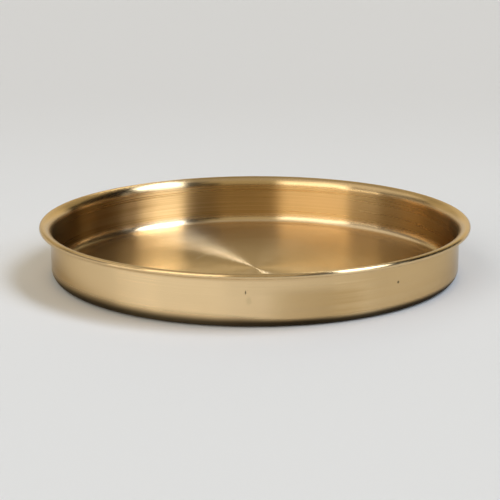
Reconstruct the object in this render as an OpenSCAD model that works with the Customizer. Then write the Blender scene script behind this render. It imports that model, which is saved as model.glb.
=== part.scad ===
// Thali plate
// A round metal dinner plate with a flat floor, an upright wall, a flared lip
// and an edge that is rolled over a stiffening wire.
// All sizes are in millimetres. The plate stands on z = 0 and its axis is Z.

/* [Overall] */
// Width over the rolled edge
rim_d = 300; // [200:1:400]
// Height from the table to the crest of the lip
plate_h = 36.5; // [22:0.5:60]

/* [Sheet] */
// Thickness of the sheet that the whole pan is spun from
sheet_t = 0.9; // [0.5:0.1:1.4]
// Radius between floor and wall, on the inside
corner_r = 5.5; // [2:0.5:9]

/* [Lip] */
// Radius of the outward bend above the wall, on the top face
flare_r = 6.5; // [3:0.5:9]
// Flat width between the bend and the rolled edge
land_w = 0.3; // [0.2:0.1:6]

/* [Rolled edge] */
// Thickness of the wire
wire_d = 1.5; // [0.8:0.1:3]
// Gap between the wire and the sheet around it
wire_clearance = 0.05; // [0.03:0.01:0.2]
// Gap between the sheet's free edge and the underside of the lip
curl_gap = 0.4; // [0.2:0.1:0.8]
// Gap between the two ends of the wire
wire_butt = 0.5; // [0.2:0.1:3]

/* [Hidden] */
$fn = 180;

// Rolled edge: bore around the wire, outer radius, and centre of the roll
bead_bore_r = wire_d / 2 + wire_clearance;
bead_r = bead_bore_r + sheet_t;
bead_x = rim_d / 2 - bead_r;
bead_z = plate_h - bead_r;

// Lip: where the flat land starts, and the height where the wall starts to bend
land_x = bead_x - land_w;
flare_z = plate_h - flare_r;

// Wall: inner and outer radius
wall_in_r = land_x - flare_r;
wall_out_r = wall_in_r + sheet_t;

// Bottom corner: its centre
corner_x = wall_in_r - corner_r;
corner_z = sheet_t + corner_r;

// The sheet's free edge stops this far above the middle of the wire, inboard
curl_end_a = asin((bead_bore_r - curl_gap) / bead_r);

// Share of a full turn that the gap in the wire takes up
wire_butt_a = wire_butt / bead_x * 180 / PI;

// Quarter of a ring, in the quadrant that the two signs point to
module quarter_ring(outer_r, inner_r, sign_x, sign_z) {
    intersection() {
        difference() {
            circle(r = outer_r);
            circle(r = inner_r);
        }
        translate([sign_x > 0 ? 0 : -outer_r, sign_z > 0 ? 0 : -outer_r])
            square(outer_r);
    }
}

// Sheet from the crest of the lip around the wire, with the slot it leaves inboard
module curl_section() {
    reach = 2 * bead_r;
    difference() {
        circle(r = bead_r);
        circle(r = bead_bore_r);
        polygon([
            [0, 0],
            [0, reach],
            [-reach, reach],
            [-reach, reach * tan(curl_end_a)]
        ]);
    }
}

// Half section of the sheet, from the axis to the rolled edge
module pan_section() {
    // floor
    square([corner_x, sheet_t]);
    // bottom corner
    translate([corner_x, corner_z])
        quarter_ring(corner_r + sheet_t, corner_r, 1, -1);
    // wall
    translate([wall_in_r, corner_z])
        square([sheet_t, flare_z - corner_z]);
    // outward bend
    translate([land_x, flare_z])
        quarter_ring(flare_r, flare_r - sheet_t, -1, 1);
    // land
    translate([land_x, plate_h - sheet_t])
        square([land_w, sheet_t]);
    // rolled edge
    translate([bead_x, bead_z])
        curl_section();
}

// One sheet: floor, wall, lip and rolled edge
module pan() {
    color([0.80, 0.60, 0.30])
        rotate_extrude()
            pan_section();
}

// Ring of wire inside the rolled edge, with its two ends butted
module rim_wire() {
    color([0.62, 0.62, 0.60])
        translate([0, 0, bead_z])
            rotate([0, 0, 90 + wire_butt_a / 2])
                rotate_extrude(angle = 360 - wire_butt_a)
                    translate([bead_x, 0])
                        circle(d = wire_d);
}

pan();
rim_wire();
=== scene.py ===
"""Thali plate: the looks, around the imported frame. Metres, plate standing on z = 0."""

import bpy
from math import asin, cos, pi, radians, sin
from mathutils import Matrix


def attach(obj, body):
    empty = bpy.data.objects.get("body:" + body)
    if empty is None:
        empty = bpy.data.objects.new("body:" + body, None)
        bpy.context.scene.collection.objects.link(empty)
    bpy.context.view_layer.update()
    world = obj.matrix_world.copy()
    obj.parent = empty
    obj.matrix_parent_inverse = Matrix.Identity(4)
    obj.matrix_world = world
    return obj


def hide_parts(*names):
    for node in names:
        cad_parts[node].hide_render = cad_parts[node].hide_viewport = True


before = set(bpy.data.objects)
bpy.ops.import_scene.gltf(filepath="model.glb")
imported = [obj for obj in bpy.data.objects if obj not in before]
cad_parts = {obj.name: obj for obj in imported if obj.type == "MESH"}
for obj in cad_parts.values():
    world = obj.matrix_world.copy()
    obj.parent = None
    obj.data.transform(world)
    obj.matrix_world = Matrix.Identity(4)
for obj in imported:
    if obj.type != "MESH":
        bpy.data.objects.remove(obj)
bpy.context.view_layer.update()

# Sizes of the plate, as in the part's source
RIM_R = 0.150
PLATE_H = 0.0365
SHEET = 0.0009
CORNER_R = 0.0055
FLARE_R = 0.0065
LAND = 0.0003
BEAD_BORE_R = 0.0008
CURL_GAP = 0.0004

# Sizes that follow: the rolled edge and where its free edge stops, the wall's inner face,
# and the middles of the roll, the lip's bend and the bottom corner
BEAD_R = BEAD_BORE_R + SHEET
CURL_END = asin((BEAD_BORE_R - CURL_GAP) / BEAD_R)
WALL_R = RIM_R - BEAD_R - LAND - FLARE_R
BEAD = (RIM_R - BEAD_R, PLATE_H - BEAD_R)
FLARE = (BEAD[0] - LAND, PLATE_H - FLARE_R)
CORNER = (WALL_R - CORNER_R, SHEET + CORNER_R)

# How finely the sheet is modelled: facets around, rings of the floor, shares of the wall's height,
# and steps along each bend
AROUND = 288
FLOOR_RINGS = (0.002, 0.008, 0.02, 0.04, 0.06, 0.08, 0.1, 0.118, 0.13, 0.1352)
WALL_SHARES = (0.05, 0.25, 0.5, 0.75, 0.95, 1.0)
CORNER_STEPS = 10
FLARE_STEPS = 14
CURL_STEPS = 32
SMOOTH_BELOW = radians(45)


class Val:
    """A shader value. Arithmetic on it adds Math nodes."""

    def __init__(self, shade, socket):
        self.shade, self.socket = shade, socket

    def math(self, operation, *values):
        node = self.shade.node("ShaderNodeMath", {"operation": operation}, dict(enumerate(values)))
        return Val(self.shade, node.outputs[0])

    def __add__(self, other):
        return self.math("ADD", self, other)

    def __radd__(self, other):
        return self.math("ADD", other, self)

    def __sub__(self, other):
        return self.math("SUBTRACT", self, other)

    def __rsub__(self, other):
        return self.math("SUBTRACT", other, self)

    def __mul__(self, other):
        return self.math("MULTIPLY", self, other)

    def __rmul__(self, other):
        return self.math("MULTIPLY", other, self)

    def __truediv__(self, other):
        return self.math("DIVIDE", self, other)

    def __pow__(self, other):
        return self.math("POWER", self, other)

    def clamp(self):
        node = self.shade.node("ShaderNodeClamp", {}, {"Value": self})
        return Val(self.shade, node.outputs[0])

    def step(self, low, high):
        """0 below low, 1 above high, smooth between."""
        node = self.shade.node(
            "ShaderNodeMapRange",
            {"interpolation_type": "SMOOTHSTEP"},
            {"Value": self, "From Min": low, "From Max": high},
        )
        return Val(self.shade, node.outputs[0])


class Shade:
    """A node tree that is written as expressions."""

    def __init__(self, tree):
        self.tree = tree
        tree.nodes.clear()

    def node(self, kind, settings, sockets):
        made = self.tree.nodes.new(kind)
        for name, value in settings.items():
            setattr(made, name, value)
        for name, value in sockets.items():
            if isinstance(value, Val):
                self.tree.links.new(value.socket, made.inputs[name])
            else:
                made.inputs[name].default_value = value
        return made

    def val(self, kind, settings, sockets, output=0):
        return Val(self, self.node(kind, settings, sockets).outputs[output])

    def place(self, kind="Object"):
        return self.val("ShaderNodeTexCoord", {}, {}, kind)

    def parts(self, vector):
        """The three numbers of a vector."""
        made = self.node("ShaderNodeSeparateXYZ", {}, {"Vector": vector})
        return [Val(self, socket) for socket in made.outputs]

    def vector(self, operation, *values, output=0):
        return self.val("ShaderNodeVectorMath", {"operation": operation}, dict(enumerate(values)), output)

    def blend(self, share, first, second):
        """The first colour where the share is 0, the second where it is 1."""
        return self.val("ShaderNodeMix", {"data_type": "RGBA"}, {0: share, 6: first, 7: second}, 2)

    def surface(self, shader):
        self.node("ShaderNodeOutputMaterial", {}, {"Surface": shader})


def material(name):
    made = bpy.data.materials.new(name)
    made.use_nodes = True
    return made, Shade(made.node_tree)


# Brush lines: how many to a metre across them, how much they change on the way round, and their detail
FINE_LINES = (1000.0, 0.7, 0.0)
FINEST_LINES = (2100.0, 1.1, 0.0)
BROAD_RINGS = (180.0, 1.5, 2.0)
DRAWN_LINES = (3000.0, 8.0, 3.0)
LINE_ROUGHNESS = 0.6
# Patches of tarnish to a metre, and their detail
CLOUDS = 22.0
CLOUD_DETAIL = 2.0
# Keeps a division by the radius safe on the axis
TINY = 1e-6

# Brass as it is when tarnished (also the colour of painted shade), clean, painted pale as a sheen, and black:
# dirt on the marks, painted shade at the foot and the ends of the inner wall
TARNISH_AND_SHADE = (0.50, 0.325, 0.13, 1.0)
CLEAN = (0.92, 0.685, 0.39, 1.0)
PAINTED_SHEEN = (0.95, 0.765, 0.52, 1.0)
DIRT_AND_SHADE = (0.03, 0.022, 0.012, 1.0)
# What the brass gives back at a flat angle
EDGE_TINT = (0.72, 0.70, 0.66, 1.0)

# Heights over which one finish, or one painted shade, gives way to the next
WALL_FOOT = (0.0050, 0.0085)
WALL_TOP = (0.0285, 0.0315)
OUTER_TOP = (0.0295, 0.0315)
INNER_TOP = (0.0300, 0.0335)
DARK_PATCH_TOP = (0.020, 0.028)
FOOT_SHADE_LOW = 0.0028
FOOT_SHADE_HIGH = 0.0070
FOOT_SHADE_RISE = 0.004
# Where the flat underside ends, and where the outer half of the sheet starts in the corner
UNDERSIDE_EDGE = (CORNER[0] - 0.0005, CORNER[0])
SHEET_MIDDLE = (CORNER_R + SHEET / 3, CORNER_R + SHEET * 2 / 3)

# Sides of the plate, in degrees anticlockwise from the right: the middle of each,
# how far to either hand it is full, and how far it reaches
SHADE_LEFT_END = (172, 14, 38)
SHADE_RIGHT_END = (8, 12, 36)
BITTEN_SIDE = (118, 22, 62)
PAINTED_BRIGHT_SIDE = (242, 14, 42)
PAINTED_DARK_LEFT = (196, 26, 46)
PAINTED_DARK_RIGHT = (325, 14, 46)
DARK_PATCH_SIDE = (286, 3, 15)
FOOT_SHADE_HIGH_SIDE = (228, 18, 52)

# Two specks and a faint smear on the outer face: the middle, half the size and the depth of each
MARKS = (
    ((-0.0062, -0.1423, 0.0232), (0.0006, 0.0006, 0.0016), 1.0),
    ((0.0904, -0.1100, 0.0207), (0.0012, 0.0012, 0.0012), 1.0),
    ((-0.0042, -0.1424, 0.0180), (0.0022, 0.0022, 0.0036), 0.14),
)
MARK_CORE = 0.4


def around_the_axis(shade, at):
    """The direction from the axis, the distance from it, and the height."""
    x, y, z = shade.parts(at)
    radius = (x * x + y * y) ** 0.5
    return (x / (radius + TINY), y / (radius + TINY)), radius, z


def streaks(shade, turn, along, lines):
    """Noise drawn out round the axis, as a spun finish leaves it."""
    per_metre, change, detail = lines
    point = {"X": turn[0] * change, "Y": turn[1] * change, "Z": along * per_metre}
    point = shade.val("ShaderNodeCombineXYZ", {}, point)
    noise = {"Vector": point, "Scale": 1.0, "Detail": detail, "Roughness": LINE_ROUGHNESS}
    return shade.val("ShaderNodeTexNoise", {}, noise)


def mark(shade, at, centre, size):
    """1 in the middle of a small round mark, 0 outside it."""
    off = shade.vector("DIVIDE", shade.vector("SUBTRACT", at, centre), size)
    return 1.0 - shade.vector("LENGTH", off, output=1).step(MARK_CORE, 1.0)


class BrassFaces:
    """Where each finish and each painted shade of the brass lies, and its brush lines and clouds, which swing
    about 0.
    """

    def __init__(self, shade):
        self.at = shade.place()
        self.turn, radius, self.z = around_the_axis(shade, self.at)
        along = radius + self.z
        lines = 0.5 * streaks(shade, self.turn, along, FINE_LINES)
        lines = lines + 0.5 * streaks(shade, self.turn, along, FINEST_LINES)
        self.line = lines - 0.5
        self.broad = streaks(shade, self.turn, along, BROAD_RINGS) - 0.5
        clouds = {"Vector": self.at, "Scale": CLOUDS, "Detail": CLOUD_DETAIL}
        self.cloud = shade.val("ShaderNodeTexNoise", {}, clouds) - 0.5
        # the outer face runs from the foot to the bend of the lip
        out = radius - CORNER[0]
        below = self.z.math("MINIMUM", self.z, CORNER[1]) - CORNER[1]
        outside = ((out * out + below * below) ** 0.5).step(*SHEET_MIDDLE)
        self.outside = outside * radius.step(*UNDERSIDE_EDGE) * (1.0 - self.z.step(*OUTER_TOP))
        self.inside = (1.0 - self.outside) * (1.0 - self.z.step(*INNER_TOP))
        self.wall = self.z.step(*WALL_FOOT) * (1.0 - self.z.step(*WALL_TOP))
        # painted shade: the two ends of the inner wall, painted darker for the dark room that they reflect
        self.shaded_ends = self.wall * (1.7 * self.side(*SHADE_LEFT_END) + 0.8 * self.side(*SHADE_RIGHT_END))
        # painted shade: a dark band at the foot of the outer face, higher on one side, for the shadowed table
        # it reflects
        foot_shade_top = FOOT_SHADE_HIGH + FOOT_SHADE_RISE * self.side(*FOOT_SHADE_HIGH_SIDE)
        self.foot = self.outside * (1.0 - self.z.step(FOOT_SHADE_LOW, foot_shade_top))

    def side(self, degrees, near, far):
        """1 within so many degrees of one side of the plate, 0 farther away."""
        toward = self.turn[0] * cos(radians(degrees)) + self.turn[1] * sin(radians(degrees))
        return toward.step(cos(radians(far)), cos(radians(near)))


def brass_roughness(face):
    """Coarser lines on the wall, a smoother outer face and a dull foot."""
    rough = 0.236 + (0.09 + 0.11 * face.wall) * face.line + 0.05 * face.broad + 0.03 * face.cloud
    rough = rough + 0.064 * face.wall * (1.0 - face.outside) - 0.08 * face.outside
    return rough + 0.5 * face.foot


def brass_tone(shade, face):
    # painted shade: the inside is darker than the lip and the outside, most of all at the two ends of its
    # wall, for the dark room it reflects;
    # the outer face is painted lighter on one side and darker on the others, a painted reflection of bright
    # and dark surroundings
    # a darker patch low on the front of the outer face
    dark_patch = face.side(*DARK_PATCH_SIDE) * (0.8 + 0.8 * face.cloud) * (1.0 - face.z.step(*DARK_PATCH_TOP))
    # painted reflection: the outer face is painted darker at two sides and lighter on a third, for the dark
    # and bright surroundings it reflects
    darker_sides = 0.75 * face.side(*PAINTED_DARK_RIGHT) + 0.8 * face.side(*PAINTED_DARK_LEFT) + dark_patch
    tarnish_and_shade = 0.66 - face.inside * (0.05 + 0.30 * face.wall + 0.2 * face.shaded_ends)
    tarnish_and_shade = tarnish_and_shade + face.outside * (0.3 * face.side(*PAINTED_BRIGHT_SIDE) - 0.4 * darker_sides)
    # the brush has bitten deeper into one side of the inner wall
    bite = face.wall * face.inside * (0.2 + 0.8 * face.side(*BITTEN_SIDE))
    tarnish_and_shade = tarnish_and_shade + (0.2 + 0.1 * face.wall + 0.6 * bite) * face.line + 0.25 * face.cloud
    tone = shade.blend(tarnish_and_shade.clamp(), TARNISH_AND_SHADE, CLEAN)
    # painted sheen: the floor is painted paler than the wall, ring by ring, for its bright highlights
    painted_sheen = 0.52 + 0.7 * face.line + 0.5 * face.broad
    tone = shade.blend(painted_sheen * face.inside * (1.0 - face.z.step(*WALL_FOOT)), tone, PAINTED_SHEEN)
    # marks, and painted shade at the foot for the shadowed table that it reflects near the base
    marks = sum(depth * mark(shade, face.at, centre, size) for centre, size, depth in MARKS)
    # dirt on the marks; painted shade at the foot and at the ends of the inner wall
    dirt_and_shade = 0.93 * face.foot + 0.8 * marks + 0.28 * face.inside * face.shaded_ends
    return shade.blend(dirt_and_shade.clamp(), tone, DIRT_AND_SHADE)


def brushed_normal(shade, face):
    """Each brush line leans a little along its own length."""
    lean = face.line * (0.013 + 0.019 * face.wall) * (1.0 - 0.7 * face.outside)
    way = shade.val("ShaderNodeCombineXYZ", {}, {"X": lean * face.turn[1] * -1.0, "Y": lean * face.turn[0]})
    normal = shade.val("ShaderNodeNewGeometry", {}, {}, "Normal")
    return shade.vector("NORMALIZE", shade.vector("ADD", normal, way))


def brushed_brass():
    made, shade = material("brushed_brass")
    face = BrassFaces(shade)
    brass = {
        "Base Color": brass_tone(shade, face),
        "Metallic": 1.0,
        "Roughness": brass_roughness(face),
        "Anisotropic": 1.0,
        "Anisotropic Rotation": 0.25,
        "Specular Tint": EDGE_TINT,
        "Normal": brushed_normal(shade, face),
    }
    shade.surface(shade.val("ShaderNodeBsdfPrincipled", {}, brass))
    return made


# Drawn wire, in the valleys and on the crests of its lines
WIRE_DARK = (0.42, 0.42, 0.41, 1.0)
WIRE_PALE = (0.62, 0.61, 0.59, 1.0)


def drawn_wire():
    made, shade = material("drawn_wire")
    turn, radius, z = around_the_axis(shade, shade.place())
    draw = streaks(shade, turn, radius + z, DRAWN_LINES)
    tone = shade.blend(draw, WIRE_DARK, WIRE_PALE)
    steel = {"Base Color": tone, "Metallic": 1.0, "Roughness": 0.3 + 0.2 * draw}
    shade.surface(shade.val("ShaderNodeBsdfPrincipled", {}, steel))
    return made


def arc(centre, radius, start, end, steps):
    """Points along an arc, without its first one."""
    angles = [start + (end - start) * k / steps for k in range(1, steps + 1)]
    return [(centre[0] + radius * cos(a), centre[1] + radius * sin(a)) for a in angles]


def sheet_line():
    """Half section of the sheet's middle, from the floor's middle to the free edge of the roll."""
    half = SHEET / 2
    line = [(r, half) for r in FLOOR_RINGS]
    line.append((CORNER[0], half))
    line += arc(CORNER, CORNER_R + half, -pi / 2, 0, CORNER_STEPS)
    line += [(WALL_R + half, CORNER[1] + (FLARE[1] - CORNER[1]) * share) for share in WALL_SHARES]
    line += arc(FLARE, FLARE_R - half, pi, pi / 2, FLARE_STEPS)
    line.append((BEAD[0], PLATE_H - half))
    line += arc(BEAD, BEAD_R - half, pi / 2, -pi - CURL_END, CURL_STEPS)
    return line


def spin_pan():
    line = sheet_line()
    start_r, start_z = line[0]
    bpy.ops.object.select_all(action="DESELECT")
    bpy.ops.mesh.primitive_circle_add(
        vertices=AROUND, radius=start_r, fill_type="TRIFAN", location=(0, 0, start_z)
    )
    pan = bpy.context.object
    pan.name = pan.data.name = "spun_pan"
    bpy.ops.object.mode_set(mode="EDIT")
    bpy.ops.mesh.select_all(action="SELECT")
    bpy.ops.mesh.region_to_loop()
    for (r0, z0), (r1, z1) in zip(line, line[1:]):
        bpy.ops.mesh.extrude_edges_move()
        bpy.ops.transform.resize(value=(r1 / r0, r1 / r0, 1), center_override=(0, 0, 0))
        bpy.ops.transform.translate(value=(0, 0, z1 - z0))
    bpy.ops.object.mode_set(mode="OBJECT")
    bpy.ops.object.transform_apply(location=True, rotation=True, scale=True)
    sheet = pan.modifiers.new("sheet", "SOLIDIFY")
    sheet.thickness = SHEET
    sheet.offset = 0
    sheet.use_even_offset = True
    sheet.use_quality_normals = True
    bpy.ops.object.modifier_apply(modifier=sheet.name)
    bpy.ops.object.shade_smooth_by_angle(angle=SMOOTH_BELOW)
    return pan


# The table: its width, its colour in front and far behind, painted darker far behind as painted shade, and
# where the one turns into the other
TABLE_W = 30
TABLE_NEAR = (0.785, 0.782, 0.783, 1.0)
TABLE_FAR_SHADED = (0.70, 0.688, 0.679, 1.0)
TABLE_TURN = (-0.1, 0.9)


def pale_table():
    bpy.ops.object.select_all(action="DESELECT")
    bpy.ops.mesh.primitive_plane_add(size=TABLE_W, location=(0, 0, 0))
    table = bpy.context.object
    table.name = table.data.name = "table"
    made, shade = material("pale_table")
    away = shade.parts(shade.place())[1].step(*TABLE_TURN)
    top = {"Base Color": shade.blend(away, TABLE_NEAR, TABLE_FAR_SHADED), "Roughness": 0.8}
    shade.surface(shade.val("ShaderNodeBsdfPrincipled", {}, top))
    table.data.materials.append(made)


# Boards of light around the table: tint, strength, sides at the foot, sides at the top (degrees anticlockwise
# from the right), lower and upper edge (degrees above the table), softness of the two sides and of the edges
TINTS = {
    "day": (0.905, 1.0, 1.15, 1.0),
    "warm": (1.06, 1.0, 0.88, 1.0),
    "amber": (1.15, 1.0, 0.66, 1.0),
}
BOARDS = {
    "right_low": ("day", 1.25, (312.3, 331.5), (315.4, 337.5), 0, 29, (2.0, 3.5), 1),
    "right_slit": ("day", 0.35, (347, 353), (353.5, 360.5), 0, 29, (1.2, 1.2), 1),
    "right_lamp": ("day", 4.4, (315.4, 345), (323.5, 365), 29, 48, (2.0, 4.0), 2),
    "right_lamp_top": ("day", 7.2, (323.5, 371), (350, 405), 48, 67, (2.5, 3.0), 3),
    "back_wedge": ("warm", 4.6, (86, 87.4), (79.1, 82.8), 30, 42, (0.4, 0.4), 2),
    "left_in": ("warm", 0.35, (217, 254), (217, 254), 0, 14, (3, 4), 2),
    "left_out": ("warm", 2.3, (190, 217), (190, 217), 0, 14, (2, 3), 2),
    "left_up": ("warm", 2.6, (214, 254), (205, 254), 14, 32, (3, 4), 2),
    "left_high": ("warm", 1.7, (205, 254), (200, 250), 32, 62, (5, 5), 4),
    "front_mid": ("amber", 0.40, (254, 292), (254, 292), 14, 40, (3, 3), 4),
    "front_high": ("amber", 0.40, (250, 310), (250, 310), 40, 66, (4, 4), 4),
    "back_low": ("warm", 0.74, (45, 140), (45, 140), 0, 13, (6, 6), 3),
    "back_glow": ("amber", 0.7, (55, 101), (55, 101), 12, 24, (8, 6), 4),
    "back_side": ("amber", 0.42, (101, 140), (101, 140), 13, 26, (6, 6), 4),
    "back_mid": ("amber", 0.36, (45, 140), (45, 140), 24, 45, (6, 6), 3),
    "back_top": ("amber", 0.2, (50, 130), (50, 130), 45, 66, (8, 8), 5),
    "back_left": ("warm", 0.44, (140, 190), (140, 190), 0, 17, (5, 5), 3),
    "left_top": ("warm", 0.76, (130, 200), (130, 200), 32, 66, (8, 8), 5),
    "ceiling": ("warm", 0.45, (0, 360), (0, 360), 66, 100, (1, 1), 5),
}


def board(turn, rise, foot, top, low, high, soft, edge):
    """1 on a board of light, 0 beside it."""
    up = ((rise - low) / (high - low)).clamp()
    middle = sum(foot) / 2 + (sum(top) - sum(foot)) / 2 * up
    half = (foot[1] - foot[0]) / 2 + ((top[1] - top[0]) - (foot[1] - foot[0])) / 2 * up
    off = turn - middle
    off = off.math("WRAP", off, 180.0, -180.0)
    between_sides = (off + half).step(-soft[0], soft[0]) * (half - off).step(-soft[1], soft[1])
    return between_sides * rise.step(low - edge, low + edge) * (1.0 - rise.step(high - edge, high + edge))


def studio():
    world = bpy.data.worlds.new("studio")
    bpy.context.scene.world = world
    world.use_nodes = True
    shade = Shade(world.node_tree)
    x, y, z = shade.parts(shade.place("Generated"))
    turn = y.math("ARCTAN2", y, x) * (180 / pi)
    rise = z.math("ARCSINE", z) * (180 / pi)
    skies = []
    for tint, colour in TINTS.items():
        boards = [rest for of_tint, *rest in BOARDS.values() if of_tint == tint]
        light = sum(strength * board(turn, rise, *place) for strength, *place in boards)
        skies.append(shade.val("ShaderNodeBackground", {}, {"Color": colour, "Strength": light}))
    sky = skies[0]
    for more in skies[1:]:
        sky = shade.val("ShaderNodeAddShader", {}, {0: sky, 1: more})
    shade.node("ShaderNodeOutputWorld", {}, {"Surface": sky})


# The camera, fitted to the outlines of the rim, the wall and the base: lens in millimetres, angles in degrees
SENSOR_W = 36.0
LENS = 108.0
SIGHT_END = 100.0
CAMERA_AT = (-0.003385, -1.0246, 0.27606)
CAMERA_DOWN = 14.362
CAMERA_ROLL = -0.153


def camera():
    lens = bpy.data.cameras.new("camera")
    lens.sensor_width = SENSOR_W
    lens.lens = LENS
    lens.clip_end = SIGHT_END
    cam = bpy.data.objects.new("camera", lens)
    bpy.context.scene.collection.objects.link(cam)
    cam.matrix_world = (
        Matrix.Translation(CAMERA_AT)
        @ Matrix.Rotation(radians(90 - CAMERA_DOWN), 4, "X")
        @ Matrix.Rotation(radians(CAMERA_ROLL), 4, "Z")
    )
    bpy.context.scene.camera = cam


camera()
pan = spin_pan()
pan.data.materials.append(brushed_brass())
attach(pan, "root")
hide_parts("pan")

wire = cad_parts["rim_wire"]
wire.data.materials.clear()
wire.data.materials.append(drawn_wire())

pale_table()
studio()
bpy.context.scene.view_settings.view_transform = "Standard"
